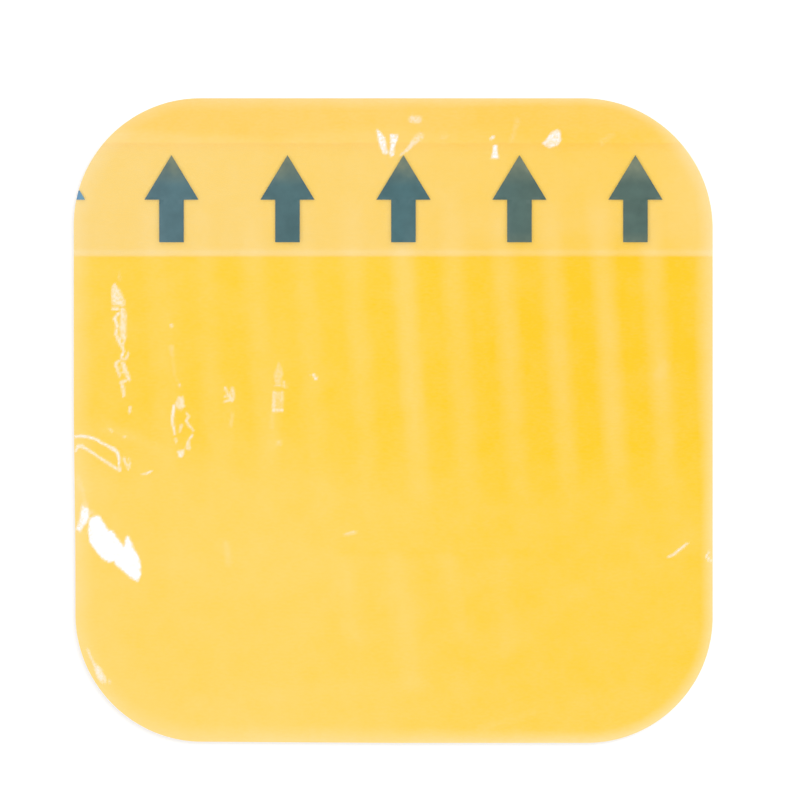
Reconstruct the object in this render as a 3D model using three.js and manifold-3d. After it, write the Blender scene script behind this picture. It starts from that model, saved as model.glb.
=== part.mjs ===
// A square hydrocolloid wound dressing as it comes out of its pouch, lying with the release liner up.
// Four webs are laminated and then cut by one rounded-square die:
//   a polyurethane backing film, underneath
//   the hydrocolloid sheet, pressed thin all round its edge
//   the main release liner, a clear film that stands off the sheet in long tunnels
//   the tab liner, a second clear film that covers the top of the sheet and overlaps the main liner
// A row of arrows is printed on the tab liner and runs off the cut edge.
// Millimetres, +Z up. The origin is on the table under the middle of the dressing, +X is to the
// right and +Y is the way the arrows point, which is the way the tab liner is peeled.
import * as THREE from "three";
import { mergeVertices } from "three/addons/utils/BufferGeometryUtils.js";
import Module from "manifold-3d";

const wasm = await Module();
wasm.setup();

// The die's outline
const WIDTH = 100;
const LENGTH = 100.9;
const CORNER_RADIUS = 19.5;
const CORNER_STEPS = 12;

// Thicknesses of the webs
const BACKING_THICKNESS = 0.05;
const SHEET_THICKNESS = 1.0;
const MAIN_LINER_THICKNESS = 0.1;
const TAB_LINER_THICKNESS = 0.1;
const INK_THICKNESS = 0.02;

// The pressed edge of the hydrocolloid sheet: its slope is underneath, on the backing film's side
const PRESSED_EDGE_WIDTH = 2.5;
const PRESSED_EDGE_RISE = 0.45;

// The tab liner: from the top of the dressing to its free edge. It is stuck down on the strip of the
// sheet that the main liner leaves bare, and comes down to it in a short ramp
const TAB_HEIGHT = 24.75;
const TAB_SEAT_HEIGHT = 7;
const TAB_RAMP_LENGTH = 1.6;
const TAB_RAMP_STEPS = 6;
const TAB_CLEARANCE = 0.03;

// The tunnels in the main liner: long shallow blisters side by side, leaning a little. Between two of
// them the film is stuck down
const TUNNEL_WIDTH = 5;
const TUNNEL_SPACING = 2.8;
const TUNNEL_HEIGHT = 0.25;
const TUNNEL_LENGTH = 58;
const TUNNEL_FADE = 14;
const TUNNEL_LEAN = 0.07;
const TUNNEL_SIDE_MARGIN = 4;
const TUNNEL_TOP_MARGIN = 5;
const TUNNEL_ROW_SHIFT = 3.3;
const TUNNEL_COLUMNS = 6;
const TUNNEL_ROWS = 12;

// The printed arrows
const ARROW_WIDTH = 8.5;
const ARROW_SPACING = 9.65;
const ARROW_HEAD_HEIGHT = 7;
const ARROW_SHAFT_LENGTH = 6.65;
const ARROW_SHAFT_WIDTH = 3.85;
const ARROW_MARGIN = 2.2;
const ARROW_ROW_SHIFT = 1.6;

// A web is this much larger than the die on every side before it is cut
const TRIM = 2;

// Heights at which the webs meet
const sheetTop = BACKING_THICKNESS + SHEET_THICKNESS;
const pressedUnderside = BACKING_THICKNESS + PRESSED_EDGE_RISE;
const tabPlateau = sheetTop + MAIN_LINER_THICKNESS + TUNNEL_HEIGHT + TAB_CLEARANCE;
const tabTop = tabPlateau + TAB_LINER_THICKNESS;
const stackTop = tabTop + INK_THICKNESS;

// Places along +Y at which the liners end and the tunnels run
const tabFreeEdge = LENGTH / 2 - TAB_HEIGHT;
const mainLinerEdge = LENGTH / 2 - TAB_SEAT_HEIGHT;
const tunnelTop = mainLinerEdge - TUNNEL_TOP_MARGIN;
const tunnelFoot = tunnelTop - TUNNEL_LENGTH;

const polyurethaneFilm = new THREE.MeshStandardMaterial({
  color: "#f7d88f",
  roughness: 0.5,
  metalness: 0,
});
const hydrocolloid = new THREE.MeshStandardMaterial({
  color: "#ffd658",
  roughness: 0.6,
  metalness: 0,
});
const clearFilm = new THREE.MeshStandardMaterial({
  color: "#fff4d6",
  roughness: 0.12,
  metalness: 0,
  transparent: true,
  opacity: 0.3,
});
const blueInk = new THREE.MeshStandardMaterial({
  color: "#5b7480",
  roughness: 0.4,
  metalness: 0,
});

// The die's outline moved in by inset, as points counter-clockwise. Every inset has as many points
function outline(inset = 0) {
  const radius = CORNER_RADIUS - inset;
  const centreX = WIDTH / 2 - CORNER_RADIUS;
  const centreY = LENGTH / 2 - CORNER_RADIUS;
  const corners = [
    [centreX, centreY],
    [-centreX, centreY],
    [-centreX, -centreY],
    [centreX, -centreY],
  ];
  return corners.flatMap(([x, y], corner) =>
    Array.from({ length: CORNER_STEPS + 1 }, (_, step) => {
      const angle = (Math.PI / 2) * (corner + step / CORNER_STEPS);
      return new THREE.Vector2(x + radius * Math.cos(angle), y + radius * Math.sin(angle));
    }),
  );
}

function geometryOf(positions, indices) {
  const geometry = new THREE.BufferGeometry();
  geometry.setAttribute("position", new THREE.Float32BufferAttribute(positions, 3));
  geometry.setIndex(indices);
  return geometry;
}

// A closed solid through rings, each the outline with an inset and a height. The first and the last
// ring are closed by flat caps, the first one facing down
function lofted(rings) {
  const points = rings.flatMap(({ inset, z }) => outline(inset).map(({ x, y }) => [x, y, z]));
  const count = points.length / rings.length;
  const indices = [];
  for (let ring = 0; ring + 1 < rings.length; ring++) {
    for (let i = 0; i < count; i++) {
      const a = ring * count + i;
      const b = ring * count + ((i + 1) % count);
      indices.push(a, b, b + count, a, b + count, a + count);
    }
  }
  const last = (rings.length - 1) * count;
  for (const [a, b, c] of THREE.ShapeUtils.triangulateShape(outline(), [])) {
    indices.push(c, b, a);
    indices.push(last + a, last + b, last + c);
  }
  return geometryOf(points.flat(), indices);
}

// A closed sheet over a grid of columns and rows: place(column, row) gives a point of its underside,
// and the thickness is measured straight up from there
function gridSheet(columns, rows, place, thickness) {
  const underside = rows.flatMap((row) => columns.map((column) => place(column, row)));
  const topside = underside.map(([x, y, z]) => [x, y, z + thickness]);
  const wide = columns.length;
  const top = underside.length;
  const lastRow = top - wide;
  const indices = [];
  const quad = (a, b, c, d) => indices.push(a, b, c, a, c, d);
  for (let row = 0; row < lastRow; row += wide) {
    for (let a = row; a < row + wide - 1; a++) {
      const b = a + wide;
      quad(a, b, b + 1, a + 1);
      quad(top + a, top + a + 1, top + b + 1, top + b);
    }
    const end = row + wide - 1;
    quad(row + wide, row, top + row, top + row + wide);
    quad(end, end + wide, top + end + wide, top + end);
  }
  for (let a = 0; a < wide - 1; a++) {
    const b = lastRow + a;
    quad(a, a + 1, top + a + 1, top + a);
    quad(b + 1, b, top + b, top + b + 1);
  }
  return geometryOf([...underside, ...topside].flat(), indices);
}

// A flat shape raised from one height to another
function prism(shape, low, high) {
  const raised = new THREE.ExtrudeGeometry(shape, { depth: high - low, bevelEnabled: false });
  return raised.translate(0, 0, low);
}

function solidOf(geometry) {
  const bare = geometry.clone();
  bare.deleteAttribute("normal");
  bare.deleteAttribute("uv");
  const merged = mergeVertices(bare);
  return new wasm.Manifold(
    new wasm.Mesh({
      numProp: 3,
      vertProperties: merged.getAttribute("position").array,
      triVerts: new Uint32Array(merged.getIndex().array),
    }),
  );
}

// What the die leaves of a web, or of the print on it
const die = solidOf(prism(new THREE.Shape(outline()), -TRIM, stackTop + TRIM));
const dieCut = (geometry) => die.intersect(solidOf(geometry));

function piece(name, geometry, material) {
  const mesh = new THREE.Mesh(geometry, material);
  mesh.name = name;
  return mesh;
}

function cutPiece(name, solid, material) {
  const { vertProperties, triVerts } = solid.getMesh();
  return piece(name, geometryOf(Array.from(vertProperties), Array.from(triVerts)), material);
}

// Backing film: of even thickness, it follows the slope under the pressed edge
function backingFilm() {
  return lofted([
    { inset: PRESSED_EDGE_WIDTH, z: 0 },
    { inset: 0, z: PRESSED_EDGE_RISE },
    { inset: 0, z: pressedUnderside },
    { inset: PRESSED_EDGE_WIDTH, z: BACKING_THICKNESS },
  ]);
}

// Hydrocolloid sheet: flat on top, with the pressed slope underneath
function hydrocolloidSheet() {
  return lofted([
    { inset: PRESSED_EDGE_WIDTH, z: BACKING_THICKNESS },
    { inset: 0, z: pressedUnderside },
    { inset: 0, z: sheetTop },
  ]);
}

// The share of its height that a tunnel has at a place across it, -1/2 to 1/2: a raised cosine
const tunnelSection = (across) => (1 + Math.cos(2 * Math.PI * across)) / 2;

// The share of its height that a tunnel has along its length: it runs out smoothly at both ends
const tunnelRun = (y) =>
  THREE.MathUtils.smoothstep(Math.min(y - tunnelFoot, tunnelTop - y), 0, TUNNEL_FADE);

// Main release liner: the columns of its grid lean with the tunnels
function mainReleaseLiner() {
  const pitch = TUNNEL_WIDTH + TUNNEL_SPACING;
  const count = Math.floor((WIDTH - 2 * TUNNEL_SIDE_MARGIN) / pitch);
  const reachY = LENGTH / 2 + TRIM;
  const reachX = WIDTH / 2 + TRIM + TUNNEL_LEAN * reachY;
  const columns = [{ x: -reachX, share: 0 }];
  for (let tunnel = 0; tunnel < count; tunnel++) {
    const centre = TUNNEL_ROW_SHIFT + pitch * (tunnel - (count - 1) / 2);
    for (let step = 0; step <= TUNNEL_COLUMNS; step++) {
      const across = step / TUNNEL_COLUMNS - 1 / 2;
      columns.push({ x: centre + across * TUNNEL_WIDTH, share: tunnelSection(across) });
    }
  }
  columns.push({ x: reachX, share: 0 });
  const rows = [Math.min(-reachY, tunnelFoot - TRIM)];
  for (let step = 0; step <= TUNNEL_ROWS; step++)
    rows.push(THREE.MathUtils.lerp(tunnelFoot, tunnelTop, step / TUNNEL_ROWS));
  rows.push(mainLinerEdge);
  const place = ({ x, share }, y) => [
    x - TUNNEL_LEAN * y,
    y,
    sheetTop + TUNNEL_HEIGHT * share * tunnelRun(y),
  ];
  return gridSheet(columns, rows, place, MAIN_LINER_THICKNESS);
}

// Tab liner: level over the main liner, then down the ramp and flat on the sheet
function tabReleaseLiner() {
  const reachX = WIDTH / 2 + TRIM;
  const section = [{ y: tabFreeEdge, z: tabPlateau }];
  for (let step = 0; step <= TAB_RAMP_STEPS; step++) {
    const share = step / TAB_RAMP_STEPS;
    const drop = THREE.MathUtils.smoothstep(share, 0, 1);
    section.push({
      y: mainLinerEdge + TAB_CLEARANCE + TAB_RAMP_LENGTH * share,
      z: THREE.MathUtils.lerp(tabPlateau, sheetTop, drop),
    });
  }
  section.push({ y: LENGTH / 2 + TRIM, z: sheetTop });
  return gridSheet([-reachX, reachX], section, (x, { y, z }) => [x, y, z], TAB_LINER_THICKNESS);
}

// One printed arrow that points along +Y, its foot at the margin above the tab liner's free edge
function arrow(centreX) {
  const foot = tabFreeEdge + ARROW_MARGIN;
  const shoulder = foot + ARROW_SHAFT_LENGTH;
  const rightSide = [
    [ARROW_SHAFT_WIDTH / 2, foot],
    [ARROW_SHAFT_WIDTH / 2, shoulder],
    [ARROW_WIDTH / 2, shoulder],
  ];
  const leftSide = rightSide.map(([x, y]) => [-x, y]).reverse();
  const points = [...rightSide, [0, shoulder + ARROW_HEAD_HEIGHT], ...leftSide];
  const shape = new THREE.Shape(points.map(([x, y]) => new THREE.Vector2(centreX + x, y)));
  return prism(shape, tabTop, stackTop);
}

// The print repeats along the web, so the row holds every arrow that the die leaves some of
function printedArrows() {
  const pitch = ARROW_WIDTH + ARROW_SPACING;
  const reach = Math.ceil(WIDTH / pitch);
  const cuts = [];
  for (let place = -reach; place <= reach; place++) {
    const cut = dieCut(arrow(ARROW_ROW_SHIFT + place * pitch));
    if (!cut.isEmpty()) cuts.push(cut);
  }
  return cuts.map((cut, i) => cutPiece(`printed_arrow_${i + 1}`, cut, blueInk));
}

const dressing = new THREE.Group();
dressing.add(
  piece("backing_film", backingFilm(), polyurethaneFilm),
  piece("hydrocolloid_sheet", hydrocolloidSheet(), hydrocolloid),
  cutPiece("main_release_liner", dieCut(mainReleaseLiner()), clearFilm),
  cutPiece("tab_release_liner", dieCut(tabReleaseLiner()), clearFilm),
  ...printedArrows(),
);

export default dressing;
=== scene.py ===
"""A square hydrocolloid dressing on a white table, its release liner up, seen from straight above.

Every size is in millimetres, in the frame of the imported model: +Z is up, +Y is the way the printed
arrows point, and the origin lies on the table under the middle of the dressing. A mesh is turned to
metres when it is put into the scene. From the table up, the dressing is a backing film, the golden
hydrocolloid sheet, the main release liner with its long air tunnels, and the tab liner with its print.
"""

import logging
import math
from dataclasses import dataclass, field
from enum import Enum

import bpy
import numpy as np
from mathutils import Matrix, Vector

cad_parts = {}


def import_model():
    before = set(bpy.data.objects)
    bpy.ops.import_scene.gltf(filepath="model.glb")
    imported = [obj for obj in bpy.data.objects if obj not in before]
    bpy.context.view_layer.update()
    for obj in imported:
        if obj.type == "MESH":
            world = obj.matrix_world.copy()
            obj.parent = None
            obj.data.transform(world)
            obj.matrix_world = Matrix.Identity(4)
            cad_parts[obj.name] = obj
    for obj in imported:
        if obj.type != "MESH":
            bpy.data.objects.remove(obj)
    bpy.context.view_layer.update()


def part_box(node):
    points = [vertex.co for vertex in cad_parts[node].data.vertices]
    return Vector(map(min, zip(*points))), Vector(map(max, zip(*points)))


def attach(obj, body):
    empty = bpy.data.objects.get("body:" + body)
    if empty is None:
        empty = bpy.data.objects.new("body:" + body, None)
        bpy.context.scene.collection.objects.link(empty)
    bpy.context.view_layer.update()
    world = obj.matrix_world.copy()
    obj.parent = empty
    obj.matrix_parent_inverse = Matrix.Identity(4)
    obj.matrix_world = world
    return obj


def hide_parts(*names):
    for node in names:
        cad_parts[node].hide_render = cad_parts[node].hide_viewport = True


MM = 0.001
BODY = "root"
# A trace of the upright, so that a crease's vector is never nothing.
UPRIGHT_TRACE = 1e-4
# The share of a crease that a film's underside keeps: as good as none, but it still has a direction.
UNDERSIDE_SHARE = 1e-3
log = logging.getLogger("dressing")

Line = tuple[float, float, float]
Corner = tuple[float, float]


def linear(code: str) -> tuple[float, float, float, float]:
    """Turns an sRGB hex colour to linear light.

    Args:
        code: The colour, such as "#ffd65f".

    Returns:
        Red, green, blue and an alpha of 1.
    """
    srgb = [int(code[i : i + 2], 16) / 255 for i in (1, 3, 5)]
    light = [c / 12.92 if c <= 0.04045 else ((c + 0.055) / 1.055) ** 2.4 for c in srgb]
    return (*light, 1.0)


def smooth(start: float, stop: float, value: np.ndarray) -> np.ndarray:
    """Runs from 0 at start to 1 at stop along 3t^2 - 2t^3, and stays level outside them.

    Args:
        start: The value that gives 0.
        stop: The value that gives 1. It may be lower than start.
        value: The places to work it out at.

    Returns:
        The share at each place.
    """
    t = np.clip((value - start) / (stop - start), 0, 1)
    return t * t * (3 - 2 * t)


def graded(low: float, high: float, step: float, *zones: tuple[float, float, float]) -> np.ndarray:
    """Spaces grid lines a step apart, and closer inside some zones.

    The count of lines up to a place is the integral of one over the step there, and the lines
    lie where that count is whole.

    Args:
        low: The first line.
        high: The last line.
        step: The distance between lines outside the zones.
        zones: Start, stop and step of each zone.

    Returns:
        The places of the lines, rising.
    """
    ruler = np.linspace(low, high, 8001)
    pace = np.full_like(ruler, step)
    for start, stop, fine in zones:
        inside = (ruler >= start) & (ruler <= stop)
        pace[inside] = np.minimum(pace[inside], fine)
    count = np.concatenate(([0], np.cumsum(np.diff(ruler) / pace[:-1])))
    return np.interp(np.linspace(0, count[-1], math.ceil(count[-1]) + 1), count, ruler)


def node(
    tree: bpy.types.NodeTree, kind: str, settings: dict | None = None, links: dict | None = None
) -> bpy.types.Node:
    """Adds a node with its settings and links.

    Args:
        tree: The tree to add it to.
        kind: Blender's name for the kind of node.
        settings: Values by name. A name that the node has as a property goes there, and any other
            name or number is an input socket's.
        links: Output sockets by the name or number of the input that each one feeds.

    Returns:
        The new node.
    """
    made = tree.nodes.new(kind)
    for name, value in (settings or {}).items():
        if isinstance(name, str) and hasattr(made, name):
            setattr(made, name, value)
        else:
            made.inputs[name].default_value = value
    for name, source in (links or {}).items():
        tree.links.new(source, made.inputs[name])
    return made


def blank(name: str) -> tuple[bpy.types.Material, bpy.types.NodeTree]:
    """Makes a material with an empty node tree.

    Args:
        name: The material's name.

    Returns:
        The material and its tree.
    """
    material = bpy.data.materials.new(name)
    material.use_nodes = True
    material.node_tree.nodes.clear()
    return material, material.node_tree


def to_side(
    x: np.ndarray, y: np.ndarray, start: tuple[float, ...], stop: tuple[float, ...]
) -> tuple[np.ndarray, np.ndarray]:
    """How far places lie from a straight side, and next to which share of it.

    The share is the place's offset from the start, projected on the side and kept between its ends.

    Args:
        x: Places across the dressing.
        y: Places along it.
        start: Where the side starts. Only its first two numbers count.
        stop: Where it ends.

    Returns:
        The distance and the share, from 0 at the start to 1 at the end.
    """
    (x0, y0), (x1, y1) = start[:2], stop[:2]
    run = max(math.hypot(x1 - x0, y1 - y0), 1e-6)
    t = np.clip(((x - x0) * (x1 - x0) + (y - y0) * (y1 - y0)) / run**2, 0, 1)
    return np.hypot(x - x0 - t * (x1 - x0), y - y0 - t * (y1 - y0)), t


class End(Enum):
    """The two ends of the dressing, by the sign of their y."""

    UPPER = 1
    LOWER = -1


@dataclass(frozen=True)
class DieLine:
    """The rounded square that one die cuts all the webs to, and how this piece came off it.

    The corners hold the radii at the upper left, upper right, lower left and lower right. The soft
    web gives a little under the die, so the lower end runs out of square and the left side leans.
    """

    half_width: float
    half_length: float
    corners: tuple[float, float, float, float] = (19.8, 20.4, 20.0, 19.7)
    blunt: float = 0.3
    end_lean: float = 0.0065
    end_lean_most: float = 0.19
    end_lean_reach: float = 33.0
    side_lean: float = 0.26

    def radius(self, x: np.ndarray, side: np.ndarray | int) -> np.ndarray:
        """The corner radius that holds at x, at the upper end where side is positive."""
        upper = np.where(x < 0, self.corners[0], self.corners[1])
        lower = np.where(x < 0, self.corners[2], self.corners[3])
        return np.where(np.asarray(side) > 0, upper, lower)

    def straight(self, end: End) -> float:
        """How far the straight sides reach from the middle towards one end."""
        return self.half_length - max(self.corners[:2] if end is End.UPPER else self.corners[2:])

    def end_at(self, x: np.ndarray, end: End) -> np.ndarray:
        """How far the outline reaches at x: the corner circle's middle plus its height there.

        Args:
            x: Places across the dressing.
            end: The end of the dressing.

        Returns:
            The outline's distance from the middle line. At the very side it keeps a blunt step, so
            that no cell closes.
        """
        radius = self.radius(x, end.value)
        into = np.clip(np.abs(x) - (self.half_width - radius), 0, None)
        return self.half_length - radius + np.sqrt(np.clip(radius**2 - into**2, self.blunt**2, None))

    def side_at(self, y: np.ndarray, x: np.ndarray) -> np.ndarray:
        """How far the outline reaches sideways at y, on the side that x is on.

        Args:
            y: Places along the dressing.
            x: Places across it, of which only the sign counts.

        Returns:
            The outline's distance from the middle line: the corner circle's middle plus its width.
        """
        radius = self.radius(x, y)
        into = np.clip(np.abs(y) - (self.half_length - radius), 0, None)
        return self.half_width - radius + np.sqrt(np.clip(radius**2 - into**2, 0, None))

    def depth(self, x: np.ndarray, y: np.ndarray) -> np.ndarray:
        """How far inside the outline a place is: the rounded box's distance, counted inwards.

        Args:
            x: Places across the dressing.
            y: Places along it.

        Returns:
            The distance to the outline, 0 on it.
        """
        radius = self.radius(x, y)
        over_x = np.abs(x) - (self.half_width - radius)
        over_y = np.abs(y) - (self.half_length - radius)
        out = np.hypot(np.clip(over_x, 0, None), np.clip(over_y, 0, None))
        return radius - out - np.minimum(np.maximum(over_x, over_y), 0)

    def columns(self, step: float, *zones: tuple[float, float, float]) -> np.ndarray:
        """Grid lines across the dressing, crowded at both sides, where the corners turn steeply.

        Args:
            step: The distance between lines outside the zones.
            zones: Start, stop and step of each finer zone.

        Returns:
            The lines' places, rising.
        """
        inner = graded(-self.half_width, self.half_width, step, *zones)
        crowd = self.half_width - np.array([0.01, 0.05, 0.12, 0.22])
        inner = inner[(np.abs(inner) < crowd[-1] - 0.05) | (np.abs(inner) == self.half_width)]
        return np.sort(np.concatenate((inner, crowd, -crowd)))

    def lay(self, columns: np.ndarray, rows: np.ndarray) -> tuple[np.ndarray, np.ndarray]:
        """Lays a grid over a web between its first and last row, cut to the outline.

        A row is level as far as the sides are straight. Past that, rows close up evenly between
        there and the outline, or the web's own edge where that comes first.

        Args:
            columns: The places of the grid lines across.
            rows: The places of the grid lines along.

        Returns:
            x and y of every grid point, by column and row.
        """
        x, row = np.meshgrid(columns, rows, indexing="ij")
        y = row.copy()
        for end in End:
            reach = end.value * (rows[-1] if end is End.UPPER else rows[0])
            straight = self.straight(end)
            if reach > straight:
                out = end.value * row
                share = (out - straight) / (reach - straight)
                edge = straight + share * (np.minimum(reach, self.end_at(x, end)) - straight)
                y[out > straight] = end.value * edge[out > straight]
        return x, y

    def off_die(self, x: np.ndarray, y: np.ndarray) -> tuple[np.ndarray, np.ndarray]:
        """Moves grid points as the soft web gave: the lower end tilts and the left side leans in.

        Args:
            x: Places across the dressing, as the die was cut.
            y: Places along it.

        Returns:
            x and y on this piece. Both shifts run out smoothly towards the middle.
        """
        across = np.clip(x, -self.end_lean_reach, self.end_lean_reach)
        tilt = self.end_lean * across * smooth(-10, -self.half_length, y)
        lean = self.side_lean * smooth(-15, -self.half_width, x) * smooth(5, -26, y)
        return x + lean, y - np.clip(tilt, -self.end_lean_most, 0)


def slab(name: str, x: np.ndarray, y: np.ndarray, low: np.ndarray, high: np.ndarray) -> bpy.types.Object:
    """Makes a closed piece between two surfaces over one grid, with upright walls round its rim.

    Args:
        name: The piece's name.
        x: Places across, by column and row.
        y: Places along.
        low: The underside's heights.
        high: The upper side's heights.

    Returns:
        The piece, its two surfaces shaded smooth up to a sharp rim and its walls flat.
    """
    under = np.arange(x.size).reshape(x.shape)
    over = under + x.size
    rim = np.concatenate((under[:-1, 0], under[-1, :-1], under[:0:-1, -1], under[0, :0:-1]))
    ahead = np.roll(rim, -1)
    corners = (under[:-1, :-1], under[1:, :-1], under[1:, 1:], under[:-1, 1:])
    cells = np.stack([c.ravel() for c in corners], axis=1)
    walls = np.stack((rim, ahead, ahead + x.size, rim + x.size), axis=1)
    quads = np.concatenate((cells[:, ::-1], cells + over[0, 0], walls))
    heights = np.append(low.ravel(), high.ravel())
    points = np.stack((np.tile(x.ravel(), 2), np.tile(y.ravel(), 2), heights), axis=1)
    mesh = bpy.data.meshes.new(name)
    mesh.from_pydata((points * MM).tolist(), [], quads.tolist())
    mesh.polygons.foreach_set("use_smooth", np.arange(len(quads)) < 2 * len(cells))
    ends = np.empty(2 * len(mesh.edges), np.int32)
    mesh.edges.foreach_get("vertices", ends)
    on_rim = np.isin(ends.reshape(-1, 2) % x.size, rim).all(axis=1)
    mesh.attributes.new("sharp_edge", "BOOLEAN", "EDGE").data.foreach_set("value", on_rim)
    mesh.update()
    piece = bpy.data.objects.new(name, mesh)
    bpy.context.scene.collection.objects.link(piece)
    return piece


def carry(piece: bpy.types.Object, name: str, values: np.ndarray, under: float = 1.0) -> None:
    """Stores a value for every grid point of a slab's upper side, and a share of it underneath.

    Args:
        piece: A piece from slab.
        name: The attribute's name.
        values: A number by column and row, or three numbers in a last axis.
        under: The share of the value that the underside has.
    """
    vector = values.ndim == 3
    kind = "FLOAT_VECTOR" if vector else "FLOAT"
    flat = values.reshape(-1, 3) if vector else values.reshape(-1, 1)
    attribute = piece.data.attributes.new(name, kind, "POINT")
    both = np.concatenate((flat * under, flat)).astype(np.float32).ravel()
    attribute.data.foreach_set("vector" if vector else "value", both)


@dataclass(frozen=True)
class Softbox:
    """A square studio lamp far above the table, as a direction, a size and a brightness."""

    name: str
    towards: tuple[float, float]
    off_zenith: float
    radiance: float
    spread: float
    distance: float = 3.0

    @property
    def slope(self) -> tuple[float, float]:
        """The slope of a surface that mirrors the lamp straight up: the tangent of half its angle."""
        lean = math.tan(math.radians(self.off_zenith) / 2)
        return self.towards[0] * lean, self.towards[1] * lean

    def hang(self) -> None:
        """Adds the lamp. An even square of side s and radiance L sends out pi * s^2 * L watts."""
        angle = math.radians(self.off_zenith)
        sideways = math.sin(angle)
        away = Vector((self.towards[0] * sideways, self.towards[1] * sideways, math.cos(angle)))
        side = 2 * self.distance * math.tan(math.radians(self.spread) / 2)
        light = bpy.data.lights.new(self.name, "AREA")
        light.size = side
        light.energy = math.pi * side**2 * self.radiance
        lamp = bpy.data.objects.new(self.name, light)
        lamp.location = away * self.distance
        lamp.rotation_euler = away.to_track_quat("Z", "Y").to_euler()
        bpy.context.scene.collection.objects.link(lamp)


KEY_LAMP = Softbox("key_softbox", (0.6, 0.8), off_zenith=22, radiance=14.6, spread=10)
FILL_BOARD = Softbox("fill_board", (-0.8, 0.6), off_zenith=16, radiance=0.82, spread=10)
SIDE_LAMP = Softbox("side_softbox", (0.77, 0.64), off_zenith=42, radiance=5.6, spread=26)


@dataclass(frozen=True)
class Facet:
    """A flat patch in a crumpled liner, as a polygon whose face leans one way."""

    corners: tuple[Corner, ...]
    strength: float = 1.0
    soft: float = 0.3

    def cover(self, x: np.ndarray, y: np.ndarray) -> np.ndarray:
        """How much of each place the patch covers.

        A place is inside if a line from it to the right crosses the sides an odd number of times.
        The cover runs from 0 to 1 over the soft width, by the distance to the nearest side.

        Args:
            x: Places across the dressing.
            y: Places along it.

        Returns:
            The cover, from 0 to 1.
        """
        inside = np.zeros(x.shape, bool)
        away = np.full(x.shape, np.inf)
        for start, stop in zip(self.corners, (*self.corners[1:], self.corners[0])):
            away = np.minimum(away, to_side(x, y, start, stop)[0])
            (x0, y0), (x1, y1) = start, stop
            if y0 != y1:
                inside ^= ((y0 > y) != (y1 > y)) & (x < x0 + (x1 - x0) * (y - y0) / (y1 - y0))
        return np.clip(np.where(inside, away, -away) / self.soft + 0.5, 0, 1)


@dataclass(frozen=True)
class Crease:
    """A small crease in a liner: a line of (x, y, half width) whose face leans one way."""

    line: tuple[Line, ...]
    strength: float = 1.0
    soft: float = 0.2

    def cover(self, x: np.ndarray, y: np.ndarray) -> np.ndarray:
        """How much of each place the crease covers: its half width there, less the distance to it.

        Args:
            x: Places across the dressing.
            y: Places along it.

        Returns:
            The cover, from 0 to 1.
        """
        best = np.zeros_like(x)
        for start, stop in zip(self.line, self.line[1:]):
            away, t = to_side(x, y, start, stop)
            half_width = start[2] + t * (stop[2] - start[2])
            best = np.maximum(best, (half_width - away) / self.soft + 0.5)
        return np.clip(best, 0, 1)


def crease_faces(creases: list[Crease | Facet], x: np.ndarray, y: np.ndarray) -> np.ndarray:
    """The faces of all the creases on a film: (slope x, slope y, 1) times the share at each place.

    They all lean so that they mirror the fill board straight up.

    Args:
        creases: The film's creases. A later one lies over an earlier one.
        x: Places across the dressing.
        y: Places along it.

    Returns:
        The vectors, in a last axis of three. Each has a trace of the upright, so none is nothing.
    """
    faces = np.zeros((*x.shape, 3))
    for mark in creases:
        cover = mark.cover(x, y)[..., None]
        face = np.array((*FILL_BOARD.slope, 1.0)) * mark.strength
        faces = faces * (1 - cover) + face * cover
    return faces + np.array((0, 0, UPRIGHT_TRACE))


@dataclass(frozen=True)
class Tunnels:
    """A row of long air tunnels under the main liner, side by side and leaning a little."""

    first: float
    pitch: float
    # How strongly each tunnel's air gap is painted paler, as painted reflection.
    gains: tuple[float, ...]
    low: float
    high: float
    fade: float
    height: float = 0.25
    width: float = 5.0
    lean: float = 0.07
    sag: float = 0.35
    # The power of the section that shapes each tunnel's painted reflection.
    sheen_power: float = 0.6

    def sections(self, x: np.ndarray, y: np.ndarray) -> np.ndarray:
        """How far up each tunnel's cross section a place is.

        It is a raised cosine across the tunnel, and runs out smoothly at both ends.

        Args:
            x: Places across the dressing.
            y: Places along it.

        Returns:
            The share of the full height, with the tunnels in a last axis.
        """
        centres = self.first + self.pitch * np.arange(len(self.gains))
        across = x[..., None] + self.lean * y[..., None] - centres
        wave = 0.5 + 0.5 * np.cos(2 * np.pi * across / self.width)
        section = np.where(np.abs(across) < self.width / 2, wave, 0)
        run = smooth(self.low, self.low + self.fade, y) * smooth(self.high, self.high - self.fade, y)
        return section * run[..., None]

    def lift(self, x: np.ndarray, y: np.ndarray) -> np.ndarray:
        """How high the film stands over the sheet: the height times the sections' sum."""
        return self.height * self.sections(x, y).sum(axis=-1)

    def shade(self, x: np.ndarray, y: np.ndarray) -> np.ndarray:
        """The painted reflection of the air in the tunnels: each gain times a power of its section, less
        lower down.
        """
        upper = 0.4 + 0.6 * smooth(-15, 6, y)
        return self.sections(x, y) ** self.sheen_power @ np.array(self.gains) * upper

    def drape(self, x: np.ndarray, y: np.ndarray) -> np.ndarray:
        """How high a second film lies over the tunnels. Between them it sags to a share of their height."""
        along = smooth(self.high, self.high - self.fade, y)
        return self.height * (self.sag * along + (1 - self.sag) * self.sections(x, y).sum(axis=-1))


@dataclass(frozen=True)
class Fold:
    """A broad soft fold in the main liner, as a line painted paler than its sides with painted reflection of
    its air gap, or deeper where its gain is below 0.
    """

    line: tuple[Corner, ...]
    width: float
    gain: float

    def shade(self, x: np.ndarray, y: np.ndarray) -> np.ndarray:
        """The fold's share of the painted reflection: a bell curve of the distance to its line.

        Args:
            x: Places across the dressing.
            y: Places along it.

        Returns:
            The haze that it adds.
        """
        near = np.full_like(x, np.inf)
        for start, stop in zip(self.line, self.line[1:]):
            near = np.minimum(near, to_side(x, y, start, stop)[0])
        return self.gain * np.exp(-((near / self.width) ** 2))


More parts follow.
